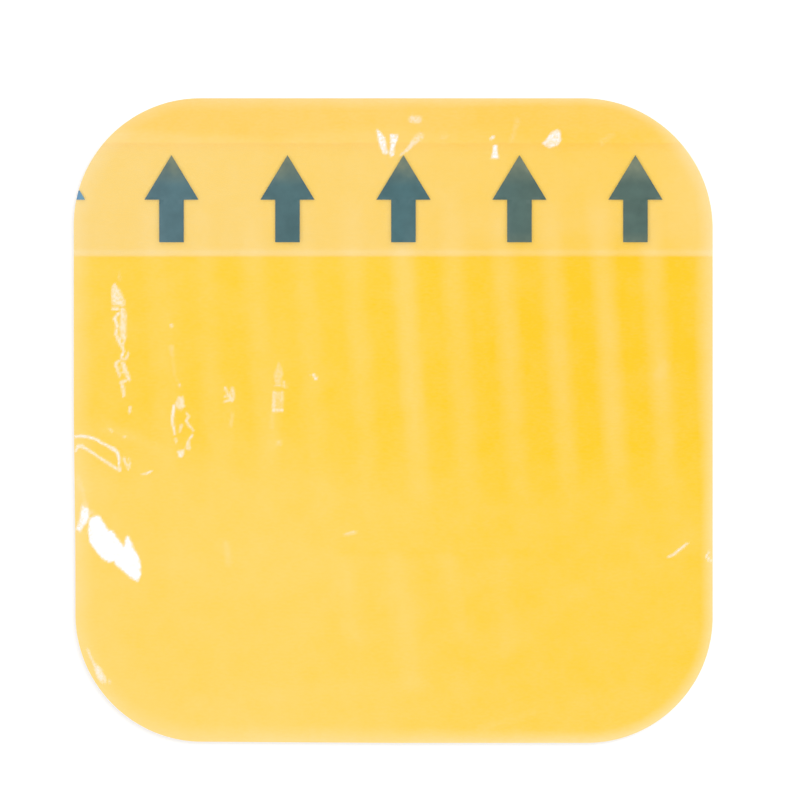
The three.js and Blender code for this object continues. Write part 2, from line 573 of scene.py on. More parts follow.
@dataclass(frozen=True)
class Stack:
    """The heights at which the webs meet and the lines at which the liners end."""

    backing: float
    sheet_top: float
    pressed_rise: float
    tab_high: float
    ink_high: float
    free_edge: float
    hidden_edge: float
    film: float = 0.1
    pressed_width: float = 2.5
    slip: float = 0.012
    contact: tuple[Corner, ...] = (
        (-50.0, 45.0),
        (-39.0, 45.6),
        (-30.0, 44.9),
        (-19.8, 44.2),
        (-11.0, 45.3),
        (-3.2, 45.9),
        (8.0, 45.2),
        (20.0, 46.1),
        (34.4, 45.4),
        (50.0, 46.0),
    )

    @classmethod
    def from_frame(cls) -> "Stack":
        """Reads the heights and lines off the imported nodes' boxes."""
        backing_low, backing_high = (np.array(c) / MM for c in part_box("backing_film"))
        sheet_low, sheet_high = (np.array(c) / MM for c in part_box("hydrocolloid_sheet"))
        _, liner_high = (np.array(c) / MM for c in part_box("main_release_liner"))
        tab_low, _ = (np.array(c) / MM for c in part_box("tab_release_liner"))
        ink_low, ink_high = (np.array(c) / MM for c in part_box("printed_arrow_3"))
        return cls(
            backing=sheet_low[2] - backing_low[2],
            sheet_top=sheet_high[2],
            pressed_rise=backing_high[2] - sheet_low[2],
            tab_high=ink_low[2],
            ink_high=ink_high[2],
            free_edge=tab_low[1],
            hidden_edge=liner_high[1],
        )

    def contact_line(self, x: np.ndarray) -> np.ndarray:
        """Where the tab liner has come down onto the bare sheet, above the hidden edge.

        Args:
            x: Places across the dressing.

        Returns:
            The line's y, eased along 3t^2 - 2t^3 from each measured point to the next.
        """
        line = np.full_like(x, self.contact[0][1])
        for (x0, y0), (x1, y1) in zip(self.contact, self.contact[1:]):
            line = line + (y1 - y0) * smooth(x0, x1, x)
        return line

    def underside(self, depth: np.ndarray) -> np.ndarray:
        """The sheet's underside: flat, and rising evenly over the pressed edge.

        Args:
            depth: Distances in from the outline.

        Returns:
            The height there.
        """
        return self.backing + self.pressed_rise * np.clip(1 - depth / self.pressed_width, 0, 1)


@dataclass(frozen=True)
class HydrocolloidFinish:
    """Hydrocolloid: pectin and gelatin grains in a rubbery glue, rolled to a golden sheet.

    Wetted by a liner it looks deep yellow. Where a liner stands off, the faces of the air gap mirror
    the pale room, and that reflection is painted into the colour as a share of white; the thin pressed
    edge lets the white below through. One attribute holds that share of painted reflection and pale
    rim. The wetted attribute says how closely the glue has taken to the film, which turns the yellow a
    little more orange. Rolling draws the grains out sideways. They are drawn coarser than real ones,
    which are too fine to show.
    """

    deep: str = "#ffce28"
    wetted: str = "#ffc528"
    # White mixed in as painted reflection of the air gaps, and for the white below at the pale rim.
    sheen_and_rim_white: str = "#fffffa"
    grain: float = 0.36
    draw: float = 2.6
    grain_share: float = 0.016
    blotch: float = 4.0
    blotch_share: float = 0.017
    relief: float = 0.02

    def make(self) -> bpy.types.Material:
        """Builds the material: deep yellow mixed towards white by the painted gap reflection and pale rim,
        with grain and blotches.
        """
        material, tree = blank("hydrocolloid_rolled")
        place = node(tree, "ShaderNodeTexCoord").outputs["Object"]
        # Share of white: painted reflection of the air gaps under the liners, plus the pale rim.
        gap_sheen_and_rim = node(tree, "ShaderNodeAttribute", {"attribute_name": "gap_sheen_and_rim"}).outputs["Fac"]
        wet = node(tree, "ShaderNodeAttribute", {"attribute_name": "wetted"}).outputs["Fac"]
        yellow = node(
            tree,
            "ShaderNodeMix",
            {"data_type": "RGBA", 6: linear(self.deep), 7: linear(self.wetted)},
            {0: wet},
        )
        rolled = node(tree, "ShaderNodeMapping", {"Scale": (1 / self.draw, 1, 1)}, {"Vector": place})
        grains = node(
            tree,
            "ShaderNodeTexNoise",
            {"Scale": 1 / (self.grain * MM), "Detail": 2.0, "Roughness": 0.6},
            {"Vector": rolled.outputs["Vector"]},
        )
        blotches = node(
            tree,
            "ShaderNodeTexNoise",
            {"Scale": 1 / (self.blotch * MM), "Detail": 3.0, "Roughness": 0.55},
            {"Vector": place},
        )
        speck = node(
            tree,
            "ShaderNodeMapRange",
            {"From Min": 0.3, "From Max": 0.7, "To Min": -self.grain_share, "To Max": self.grain_share},
            {"Value": grains.outputs["Fac"]},
        )
        cloud = node(
            tree,
            "ShaderNodeMapRange",
            {"From Min": 0.3, "From Max": 0.7, "To Min": -self.blotch_share, "To Max": self.blotch_share},
            {"Value": blotches.outputs["Fac"]},
        )
        varied = node(
            tree,
            "ShaderNodeMath",
            {"operation": "ADD"},
            {0: speck.outputs["Result"], 1: cloud.outputs["Result"]},
        )
        share = node(
            tree,
            "ShaderNodeMath",
            {"operation": "ADD", "use_clamp": True},
            {0: gap_sheen_and_rim, 1: varied.outputs[0]},
        )
        # Mixes in white by that share: painted reflection, and the pale rim.
        colour = node(
            tree,
            "ShaderNodeMix",
            {"data_type": "RGBA", 7: linear(self.sheen_and_rim_white)},
            {0: share.outputs[0], 6: yellow.outputs[2]},
        )
        bump = node(
            tree,
            "ShaderNodeBump",
            {"Strength": 0.25, "Distance": self.relief * MM},
            {"Height": grains.outputs["Fac"]},
        )
        shader = node(
            tree,
            "ShaderNodeBsdfPrincipled",
            {"Roughness": 0.62, "IOR": 1.46, "Specular IOR Level": 0.12},
            {"Base Color": colour.outputs[2], "Normal": bump.outputs["Normal"]},
        )
        node(tree, "ShaderNodeOutputMaterial", None, {"Surface": shader.outputs["BSDF"]})
        return material


@dataclass(frozen=True)
class ReleaseFilmFinish:
    """Siliconised polyester film: clear and glossy, cast flat, with creases pressed in by handling.

    It lets nearly all light through. It lies wet on the web below, so only the face that light
    comes from mirrors, and more so at a slant. A crease crazes the outer face into many small
    facets that lean one way and mirror far more, so it shows as a whitened line. The crease
    attribute holds the lean of those facets and, as its z, how much of the place they take.
    """

    name: str
    gloss: float = 0.05
    wave: float = 5.0
    wave_height: float = 0.006
    crinkle: float = 0.45
    facing_share: float = 0.012
    slant_share: float = 0.65
    sparse: float = 0.65
    dense: float = 1.45

    def make(self) -> bpy.types.Material:
        """Builds the material: see-through, mixed with the gloss of the flat film and of its creases."""
        material, tree = blank(self.name)
        place = node(tree, "ShaderNodeTexCoord").outputs["Object"]
        waves = node(
            tree,
            "ShaderNodeTexNoise",
            {"Scale": 1 / (self.wave * MM), "Detail": 2.0, "Roughness": 0.45},
            {"Vector": place},
        )
        bump = node(
            tree,
            "ShaderNodeBump",
            {"Strength": 1.0, "Distance": self.wave_height * MM},
            {"Height": waves.outputs["Fac"]},
        )
        slant = node(tree, "ShaderNodeLayerWeight", {"Blend": 0.5}, {"Normal": bump.outputs[0]})
        fifth = node(
            tree,
            "ShaderNodeMath",
            {"operation": "POWER", 1: 5.0},
            {0: slant.outputs["Facing"]},
        )
        full = node(
            tree,
            "ShaderNodeMath",
            {"operation": "MULTIPLY_ADD", 1: self.slant_share, 2: self.facing_share},
            {0: fifth.outputs[0]},
        )
        leaving = node(tree, "ShaderNodeNewGeometry").outputs["Backfacing"]
        entering = node(tree, "ShaderNodeMath", {"operation": "SUBTRACT", 0: 1.0}, {1: leaving})
        mirrored = node(
            tree, "ShaderNodeMath", {"operation": "MULTIPLY"}, {0: full.outputs[0], 1: entering.outputs[0]}
        )
        clear = node(tree, "ShaderNodeBsdfTransparent", {"Color": linear("#fffffe")})
        flat_gloss = node(
            tree,
            "ShaderNodeBsdfAnisotropic",
            {"Color": linear("#ffffff"), "Roughness": self.gloss},
            {"Normal": bump.outputs[0]},
        )
        film = node(
            tree,
            "ShaderNodeMixShader",
            None,
            {0: mirrored.outputs[0], 1: clear.outputs[0], 2: flat_gloss.outputs[0]},
        )
        crease = node(tree, "ShaderNodeAttribute", {"attribute_name": "crease"}).outputs["Vector"]
        lean = node(tree, "ShaderNodeVectorMath", {"operation": "NORMALIZE"}, {0: crease}).outputs[0]
        taken = node(tree, "ShaderNodeSeparateXYZ", None, {0: crease}).outputs["Z"]
        crinkles = node(
            tree,
            "ShaderNodeTexNoise",
            {"Scale": 1 / (self.crinkle * MM), "Detail": 2.0, "Roughness": 0.6},
            {"Vector": place},
        )
        broken = node(
            tree,
            "ShaderNodeMapRange",
            {"From Min": 0.35, "From Max": 0.62, "To Min": self.sparse, "To Max": self.dense},
            {"Value": crinkles.outputs["Fac"]},
        )
        crazed = node(
            tree, "ShaderNodeMath", {"operation": "MULTIPLY"}, {0: taken, 1: broken.outputs["Result"]}
        )
        share = node(
            tree,
            "ShaderNodeMath",
            {"operation": "MULTIPLY", "use_clamp": True},
            {0: crazed.outputs[0], 1: entering.outputs[0]},
        )
        crease_gloss = node(
            tree,
            "ShaderNodeBsdfAnisotropic",
            {"Color": linear("#ffffff"), "Roughness": self.gloss},
            {"Normal": lean},
        )
        creased = node(
            tree,
            "ShaderNodeMixShader",
            None,
            {0: share.outputs[0], 1: film.outputs[0], 2: crease_gloss.outputs[0]},
        )
        node(tree, "ShaderNodeOutputMaterial", None, {"Surface": creased.outputs[0]})
        return material


@dataclass(frozen=True)
class BackingFinish:
    """Polyurethane film, cast on an embossed paper: matt, semi-clear, tinted by the sheet under it."""

    tint: str = "#f3cf83"
    shade: str = "#e9bf68"
    emboss: float = 0.6
    emboss_depth: float = 0.03
    cloud: float = 7.0

    def make(self) -> bpy.types.Material:
        """Builds the material: a fine even emboss, with the sheet's tint varying slowly behind it."""
        material, tree = blank("polyurethane_cast_film")
        place = node(tree, "ShaderNodeTexCoord").outputs["Object"]
        cells = node(tree, "ShaderNodeTexVoronoi", {"Scale": 1 / (self.emboss * MM)}, {"Vector": place})
        cloud = node(
            tree,
            "ShaderNodeTexNoise",
            {"Scale": 1 / (self.cloud * MM), "Detail": 3.0},
            {"Vector": place},
        )
        colour = node(
            tree,
            "ShaderNodeMix",
            {"data_type": "RGBA", 6: linear(self.tint), 7: linear(self.shade)},
            {0: cloud.outputs["Fac"]},
        )
        bump = node(
            tree,
            "ShaderNodeBump",
            {"Strength": 0.5, "Distance": self.emboss_depth * MM},
            {"Height": cells.outputs["Distance"]},
        )
        shader = node(
            tree,
            "ShaderNodeBsdfPrincipled",
            {"Roughness": 0.55, "IOR": 1.5},
            {"Base Color": colour.outputs[2], "Normal": bump.outputs["Normal"]},
        )
        node(tree, "ShaderNodeOutputMaterial", None, {"Surface": shader.outputs["BSDF"]})
        return material


@dataclass(frozen=True)
class InkFinish:
    """Blue flexographic ink: one thin, slightly uneven coat that the yellow behind it turns teal.

    The coat gets yellower along the row from the bare blue at the thin left rim, and thins out to
    a greyer, paler green at the tips and a little at the feet.
    """

    row: tuple[tuple[float, str], ...] = (
        (-49.6, "#5f8ab4"),
        (-48.2, "#6f9aa4"),
        (-40.0, "#527179"),
        (-16.0, "#49686c"),
        (2.0, "#46696e"),
        (22.0, "#4f665f"),
    )
    tip: str = "#767f6a"
    mottle: float = 2.6

    def make(self) -> bpy.types.Material:
        """Builds the material: teal by the place in the row, greyer by the fade, and mottled."""
        material, tree = blank("blue_flexo_ink")
        place = node(tree, "ShaderNodeTexCoord").outputs["Object"]
        across = node(tree, "ShaderNodeSeparateXYZ", None, {0: place}).outputs["X"]
        first, last = self.row[0][0], self.row[-1][0]
        along = node(
            tree,
            "ShaderNodeMapRange",
            {"From Min": first * MM, "From Max": last * MM},
            {"Value": across},
        )
        teal = node(tree, "ShaderNodeValToRGB", None, {0: along.outputs["Result"]})
        stops = teal.color_ramp.elements
        for number, (x, code) in enumerate(self.row):
            share = (x - first) / (last - first)
            stop = stops[number] if number < 2 else stops.new(share)
            stop.position = share
            stop.color = linear(code)
        mottles = node(
            tree,
            "ShaderNodeTexNoise",
            {"Scale": 1 / (self.mottle * MM), "Detail": 2.0, "Roughness": 0.55},
            {"Vector": place},
        )
        patchy = node(
            tree,
            "ShaderNodeMapRange",
            {"From Min": 0.3, "From Max": 0.7, "To Min": 0.5, "To Max": 1.1},
            {"Value": mottles.outputs["Fac"]},
        )
        fade = node(tree, "ShaderNodeAttribute", {"attribute_name": "fade"}).outputs["Fac"]
        thinned = node(
            tree,
            "ShaderNodeMath",
            {"operation": "MULTIPLY", "use_clamp": True},
            {0: fade, 1: patchy.outputs["Result"]},
        )
        greyed = node(
            tree,
            "ShaderNodeMix",
            {"data_type": "RGBA", 7: linear(self.tip)},
            {0: thinned.outputs[0], 6: teal.outputs["Color"]},
        )
        density = node(
            tree,
            "ShaderNodeMapRange",
            {"From Min": 0.3, "From Max": 0.7, "To Min": 0.9, "To Max": 1.1},
            {"Value": mottles.outputs["Fac"]},
        )
        colour = node(
            tree,
            "ShaderNodeVectorMath",
            {"operation": "SCALE"},
            {0: greyed.outputs[2], "Scale": density.outputs["Result"]},
        )
        shader = node(
            tree,
            "ShaderNodeBsdfPrincipled",
            {"Roughness": 0.38, "IOR": 1.5, "Specular IOR Level": 0.3},
            {"Base Color": colour.outputs[0]},
        )
        node(tree, "ShaderNodeOutputMaterial", None, {"Surface": shader.outputs["BSDF"]})
        return material


TUNNELS = Tunnels(
    first=-35.7,
    pitch=7.8,
    gains=(0.04, 0.035, 0.045, 0.04, 0.05, 0.095, 0.055, 0.07, 0.078, 0.092, 0.08),
    low=-19.5,
    high=38.5,
    fade=14,
)
FOLDS = [
    Fold(((-7.3, -22.5), (-6.3, -33.5)), width=1.7, gain=0.034),
    Fold(((0.4, -22.0), (3.1, -41.0)), width=1.9, gain=0.05),
    Fold(((8.5, -22.0), (11.0, -34.0)), width=1.6, gain=0.03),
    Fold(((17.2, -22.0), (17.4, -35.5)), width=1.6, gain=0.028),
    Fold(((-8.3, -20.3), (-2.0, -20.9), (6.0, -20.5), (14.0, -21.2), (21.9, -20.7)), width=0.6, gain=-0.018),
    Fold(((19.9, -39.2), (29.4, -36.7), (36.9, -29.5), (39.4, -25.5)), width=1.7, gain=0.013),
    Fold(((10.4, -41.4), (21.4, -32.9), (29.3, -25.8), (41.8, -21.1), (46.2, -18.9)), width=1.7, gain=0.016),
    Fold(((-30.0, -44.0), (-10.0, -42.5), (2.0, -41.0)), width=1.4, gain=0.007),
    Fold(((13.6, -48.2), (21.9, -45.7)), width=0.5, gain=0.03),
    Fold(((-44.8, -1.1), (-41.0, -2.4), (-37.3, -4.4)), width=0.9, gain=0.05),
    Fold(((-36.5, -20.5), (-26.0, -21.5), (-11.0, -22.3)), width=4.0, gain=0.016),
    Fold(((-35.0, 22.0), (-34.0, 4.0)), width=1.2, gain=0.02),
    Fold(((-25.6, 3.0), (-25.3, -3.5)), width=0.9, gain=0.03),
    Fold(((-18.4, 9.5), (-18.6, -4.0)), width=1.0, gain=0.03),
]


@dataclass
class HydrocolloidSheet:
    """The golden sheet itself, flat on top, with the pressed slope all round its underside.

    Its levels of painted reflection are shares of white: of the air gap under the main liner, of the gap
    under the tab liner, where the tab liner is stuck on, the painted highlight in the line at the tab
    liner's free edge, and the real pale rim.
    """

    die: DieLine
    stack: Stack
    # Levels of painted reflection of the air gaps, as shares of white: under the main liner, under the tab
    # liner, and on the stuck strip.
    body: float = 0.048
    tab: float = 0.225
    seat: float = 0.13
    # The painted highlight along the tab liner's free edge: its strength, how far past the edge, and its
    # width.
    line: float = 0.08
    highlight_offset: float = 0.65
    highlight_width: float = 0.42
    edge_soft: float = 0.15
    rim: float = 0.12
    finish: HydrocolloidFinish = field(default_factory=HydrocolloidFinish)

    def under_tab(self, y: np.ndarray) -> np.ndarray:
        """How far a place is under the tab liner, softened over its free edge."""
        edge = self.stack.free_edge
        return smooth(edge - self.edge_soft, edge + self.edge_soft, y)

    def on_seat(self, x: np.ndarray, y: np.ndarray) -> np.ndarray:
        """How far a place is on the bare strip that the tab liner sticks to."""
        contact = self.stack.contact_line(x)
        return smooth(contact - 0.9, contact + 0.5, y)

    def past_liner(self, y: np.ndarray) -> np.ndarray:
        """How far a place is past the main liner's hidden edge."""
        return smooth(self.stack.hidden_edge - 2.0, self.stack.hidden_edge + 1.0, y)

    def body_gap_sheen(self, x: np.ndarray, y: np.ndarray) -> np.ndarray:
        """The painted reflection of the main liner's air gap alone: more in the lower half, at the foot and
        at the left.
        """
        right = smooth(-25, 25, x)
        lower = smooth(2, -13, y + 5 * right)
        body = self.body + 0.068 * lower - (0.028 + 0.032 * lower) * right + 0.022 * smooth(-38, -47, y)
        return body + 0.03 * smooth(-36, -49, x) - 0.012 * smooth(15, 35, x) * smooth(0, 15, y)

    def tab_gap_sheen(self, x: np.ndarray, y: np.ndarray) -> np.ndarray:
        """The painted reflection of the gap under the tab liner: most at the left, and less where it lies
        alone or is stuck.
        """
        free = self.stack.free_edge
        tab = self.tab - 0.045 * smooth(-45, -10, x) - 0.055 * smooth(-5, 30, x) + 0.06 * smooth(38, 47, x)
        tab = tab - 0.035 * smooth(0, 20, x) * smooth(free + 5, free + 1, y)
        tab = tab - (0.02 + 0.03 * smooth(0, 30, x)) * self.past_liner(y)
        seat = self.seat - 0.03 * smooth(0, 20, x)
        on_seat = self.on_seat(x, y)
        return tab * (1 - on_seat) + seat * on_seat

    def rim_haze(self, x: np.ndarray, y: np.ndarray) -> np.ndarray:
        """The pale rim: it falls off inwards, and is brighter and narrower at the right."""
        side = smooth(-30, 40, x)
        width = 3.2 - 1.1 * smooth(40, 49, y)
        width = width - side * (1.2 - 1.3 * smooth(-15, 20, y) + 0.9 * smooth(24, 29, y))
        bright = self.rim + 0.14 * side * (1 - 0.5 * smooth(24, 32, y))
        return bright * np.clip(1 - self.die.depth(x, y) / width, 0, 1) ** 1.2

    def gap_sheen_and_rim(self, x: np.ndarray, y: np.ndarray) -> np.ndarray:
        """How much white is mixed into the sheet's colour: mostly painted reflection of the air gaps over it.

        The sum of a slow change over the sheet, the painted reflection of the tunnels' air gaps, that of
        the second gap under the tab liner with a painted highlight along its free edge, that of the broad
        folds, and the real pale thin rim.

        Args:
            x: Places across the dressing.
            y: Places along it.

        Returns:
            The share of white at each place.
        """
        under_tab = self.under_tab(y)
        loose = 1 - self.on_seat(x, y)
        base = self.body_gap_sheen(x, y) * (1 - under_tab) + self.tab_gap_sheen(x, y) * under_tab
        # A painted highlight along the tab liner's free edge.
        past_edge = (y - self.stack.free_edge - self.highlight_offset) / self.highlight_width
        edge_highlight = np.exp(-(past_edge**2)) * under_tab
        folds = sum(fold.shade(x, y) for fold in FOLDS) * loose
        return base + TUNNELS.shade(x, y) * loose + self.line * edge_highlight + folds + self.rim_haze(x, y)

    def wetted(self, x: np.ndarray, y: np.ndarray) -> np.ndarray:
        """How closely the glue has taken to the film on it.

        Fully on the bare strip that the tab liner sticks to, nearly so just below it, not at all
        under both films, and a little under the main liner, more so at the right.

        Args:
            x: Places across the dressing.
            y: Places along it.

        Returns:
            The share at each place.
        """
        pressed = 0.2 + 0.35 * smooth(-10, 30, x) * (0.3 + 0.7 * smooth(-12, 8, y))
        past_edge = 0.85 * self.past_liner(y)
        return pressed * (1 - self.under_tab(y)) + np.maximum(self.on_seat(x, y), past_edge)

    def build(self) -> bpy.types.Object:
        """Lays the sheet's grid, stores its share of painted reflection and pale rim, and dresses it."""
        columns = self.die.columns(0.75, (-50, -47, 0.3), (47, 50, 0.3))
        free = self.stack.free_edge
        rows = graded(
            -self.die.half_length,
            self.die.half_length,
            0.75,
            (-self.die.half_length, -47.5, 0.3),
            (free - 0.6, free + 1.6, 0.2),
            (48, self.die.half_length, 0.25),
        )
        x, y = self.die.lay(columns, rows)
        low = self.stack.underside(self.die.depth(x, y))
        piece = slab("golden_sheet", *self.die.off_die(x, y), low, np.full_like(x, self.stack.sheet_top))
        # The share of white: painted reflection of the air gaps and a painted edge highlight, plus the pale
        # rim.
        carry(piece, "gap_sheen_and_rim", self.gap_sheen_and_rim(x, y))
        carry(piece, "wetted", self.wetted(x, y))
        piece.data.materials.append(self.finish.make())
        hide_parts("hydrocolloid_sheet")
        return piece


@dataclass
class BackingFilm:
    """The polyurethane film under the sheet, following the slope of the pressed edge."""

    die: DieLine
    stack: Stack
    clearance: float = 0.002
    finish: BackingFinish = field(default_factory=BackingFinish)

    def build(self) -> bpy.types.Object:
        """Lays the film's grid just under the sheet and dresses it."""
        columns = self.die.columns(2.5, (-50, -47, 0.5), (47, 50, 0.5))
        rows = graded(
            -self.die.half_length,
            self.die.half_length,
            2.5,
            (-self.die.half_length, -47.5, 0.5),
            (47.5, self.die.half_length, 0.5),
        )
        x, y = self.die.lay(columns, rows)
        high = self.stack.underside(self.die.depth(x, y))
        low = high - self.stack.backing
        piece = slab("backing_web", *self.die.off_die(x, y), low, high - self.clearance)
        piece.data.materials.append(self.finish.make())
        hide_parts("backing_film")
        return piece


def crease(strength: float, *line: Line, soft: float = 0.2) -> Crease:
    """A crease along a line of (x, y, half width)."""
    return Crease(line, strength, soft)


def facet(strength: float, *corners: Corner, soft: float = 0.3) -> Facet:
    """A creased patch inside a polygon."""
    return Facet(corners, strength, soft)


@dataclass
class MainLiner:
    """The main release liner: a clear film with tunnels, and creases where it was handled."""

    die: DieLine
    stack: Stack
    swell: float = 1.5
    finish: ReleaseFilmFinish = field(default_factory=lambda: ReleaseFilmFinish("polyester_main_liner"))

    def creases(self) -> list[Crease | Facet]:
        """The creases, by where they lie: most of them run down the left side."""
        big_crumple = [
            facet(
                1.4, (-47.7, -15.8), (-47.4, -15.3), (-46.6, -14.9), (-46.2, -15.1), (-44.9, -17.2),
                (-44.2, -17.4), (-43.2, -18.8), (-42.2, -20.0), (-42.0, -18.4), (-41.7, -18.2),
                (-41.2, -19.3), (-40.8, -20.3), (-40.1, -21.5), (-39.8, -22.9), (-39.8, -24.2),
                (-40.2, -25.1), (-41.2, -24.6), (-42.2, -23.7), (-43.6, -22.5), (-43.8, -21.9),
                (-44.7, -22.1), (-45.7, -21.5), (-46.9, -20.1), (-47.6, -19.0), (-47.8, -17.4), soft=0.55,
            ),
            facet(
                1.1, (-48.8, -13.6), (-48.1, -13.6), (-47.8, -14.6), (-48.0, -15.6), (-48.7, -16.4),
                (-49.2, -17.2), (-49.7, -17.0), (-49.2, -15.8), soft=0.7,
            ),
            crease(0.08, (-49.4, -9.0, 0.29), (-48.8, -11.1, 0.29), (-48.2, -13.3, 0.23), soft=0.6),
            crease(0.15, (-47.4, -14.3, 0.27), (-46.9, -14.7, 0.27), soft=0.5),
        ]
        side_loop = [
            crease(
                0.6, (-49.8, -2.5, 0.16), (-48.9, -2.4, 0.20), (-47.7, -2.6, 0.20),
                (-46.6, -2.9, 0.18), (-45.5, -3.6, 0.18), (-44.5, -4.1, 0.20), (-43.9, -4.4, 0.27),
            ),
            crease(
                0.6, (-43.9, -4.4, 0.31), (-43.2, -5.0, 0.18), (-43.0, -5.8, 0.20),
                (-43.0, -7.0, 0.16), (-42.9, -7.8, 0.16),
            ),
            crease(
                0.5, (-49.8, -4.8, 0.14), (-49.4, -4.0, 0.22), (-48.8, -4.0, 0.25),
                (-47.5, -4.8, 0.16), (-45.9, -5.9, 0.18), (-44.5, -6.8, 0.22), (-43.9, -7.2, 0.18),
                (-42.9, -7.8, 0.18),
            ),
            crease(0.35, (-42.2, -5.9, 0.20), (-42.0, -6.6, 0.16), (-41.5, -7.5, 0.18)),
            crease(0.3, (-41.5, -6.0, 0.14), (-41.3, -6.6, 0.14), (-41.5, -7.5, 0.18)),
            crease(0.45, (-39.4, -8.4, 0.12), (-38.7, -8.3, 0.16), (-37.9, -7.9, 0.14)),
            crease(0.25, (-44.4, -1.3, 0.12), (-44.0, -1.7, 0.18)),
            crease(0.28, (-42.1, -2.5, 0.20), (-42.0, -2.5, 0.20)),
        ]
        long_streak = [
            facet(
                0.42, (-44.0, 21.1), (-43.6, 21.5), (-43.0, 20.7), (-42.4, 19.7), (-41.9, 18.4),
                (-42.2, 17.8), (-43.0, 18.1), (-44.0, 18.1), (-44.1, 19.6),
            ),
            crease(0.15, (-42.9, 22.6, 0.16), (-42.8, 22.1, 0.16), soft=0.4),
            crease(0.5, (-43.9, 17.5, 0.18), (-43.0, 17.5, 0.18)),
            facet(
                0.38, (-42.7, 17.6), (-42.1, 17.6), (-41.7, 16.5), (-41.8, 14.5), (-41.9, 12.6),
                (-42.3, 11.6), (-42.5, 11.8), (-42.2, 12.6), (-42.7, 13.3), (-42.8, 14.9),
                (-42.7, 15.9),
            ),
            crease(
                0.5, (-43.0, 16.8, 0.18), (-43.6, 16.0, 0.25), (-43.2, 14.9, 0.22),
                (-43.4, 13.7, 0.22), (-43.1, 12.6, 0.22), (-42.4, 11.6, 0.22), (-42.2, 10.8, 0.18),
                (-42.5, 10.1, 0.22),
            ),
            crease(0.45, (-42.8, 12.6, 0.12), (-42.5, 13.2, 0.14), (-41.9, 13.1, 0.14)),
            crease(0.4, (-41.5, 10.6, 0.18), (-41.7, 9.8, 0.18), (-42.7, 9.5, 0.16), (-43.4, 9.0, 0.20)),
            crease(0.4, (-43.5, 8.9, 0.22), (-43.1, 7.9, 0.23), (-42.8, 7.0, 0.16)),
            crease(0.48, (-42.3, 9.0, 0.27), (-41.9, 7.7, 0.31), (-41.3, 6.4, 0.23)),
            crease(0.3, (-43.0, 8.1, 0.10), (-42.2, 8.6, 0.10)),
            crease(0.3, (-42.7, 7.3, 0.10), (-41.9, 7.7, 0.10)),
            crease(0.42, (-41.9, 6.2, 0.22), (-42.6, 6.0, 0.20), (-42.3, 5.1, 0.25), (-42.2, 3.9, 0.22)),
            crease(0.35, (-41.2, 2.1, 0.20), (-41.3, 1.3, 0.20)),
        ]
        ring = [
            crease(0.4, (-34.8, 14.9, 0.20), (-34.6, 14.8, 0.20)),
            crease(0.12, (-34.7, 11.5, 0.31), (-34.6, 10.2, 0.18), soft=0.5),
            crease(0.05, (-34.5, 10.2, 0.16), (-34.2, 6.9, 0.16), soft=0.5),
            crease(0.1, (-33.9, 6.5, 0.10), (-33.5, 5.7, 0.12), soft=0.4),
            crease(0.25, (-33.4, 5.6, 0.18), (-33.4, 5.4, 0.18)),
            facet(
                0.35, (-33.6, 3.8), (-32.9, 3.8), (-32.6, 2.2), (-33.2, 1.6), (-33.9, 2.0),
                (-34.1, 2.8),
            ),
            crease(
                0.5, (-34.3, 2.3, 0.22), (-34.5, 1.1, 0.23), (-34.6, -0.2, 0.23), (-34.3, -1.5, 0.18),
                (-34.2, -2.1, 0.14),
            ),
            crease(0.33, (-34.1, -2.9, 0.20), (-34.0, -3.3, 0.20)),
            crease(0.36, (-33.2, -0.8, 0.25), (-33.4, -1.7, 0.18)),
            crease(
                0.38, (-32.3, 1.1, 0.16), (-32.0, 0.6, 0.18), (-32.4, 0.0, 0.20), (-32.1, -0.6, 0.20),
                (-31.5, -1.3, 0.16), (-31.3, -1.6, 0.14),
            ),
            crease(
                0.42, (-31.5, -2.3, 0.16), (-32.0, -3.1, 0.20), (-32.2, -4.1, 0.35),
                (-32.0, -4.3, 0.31),
            ),
            facet(0.52, (-33.8, -4.8), (-32.7, -4.5), (-32.8, -5.3), (-33.2, -5.8), (-33.5, -5.8)),
        ]
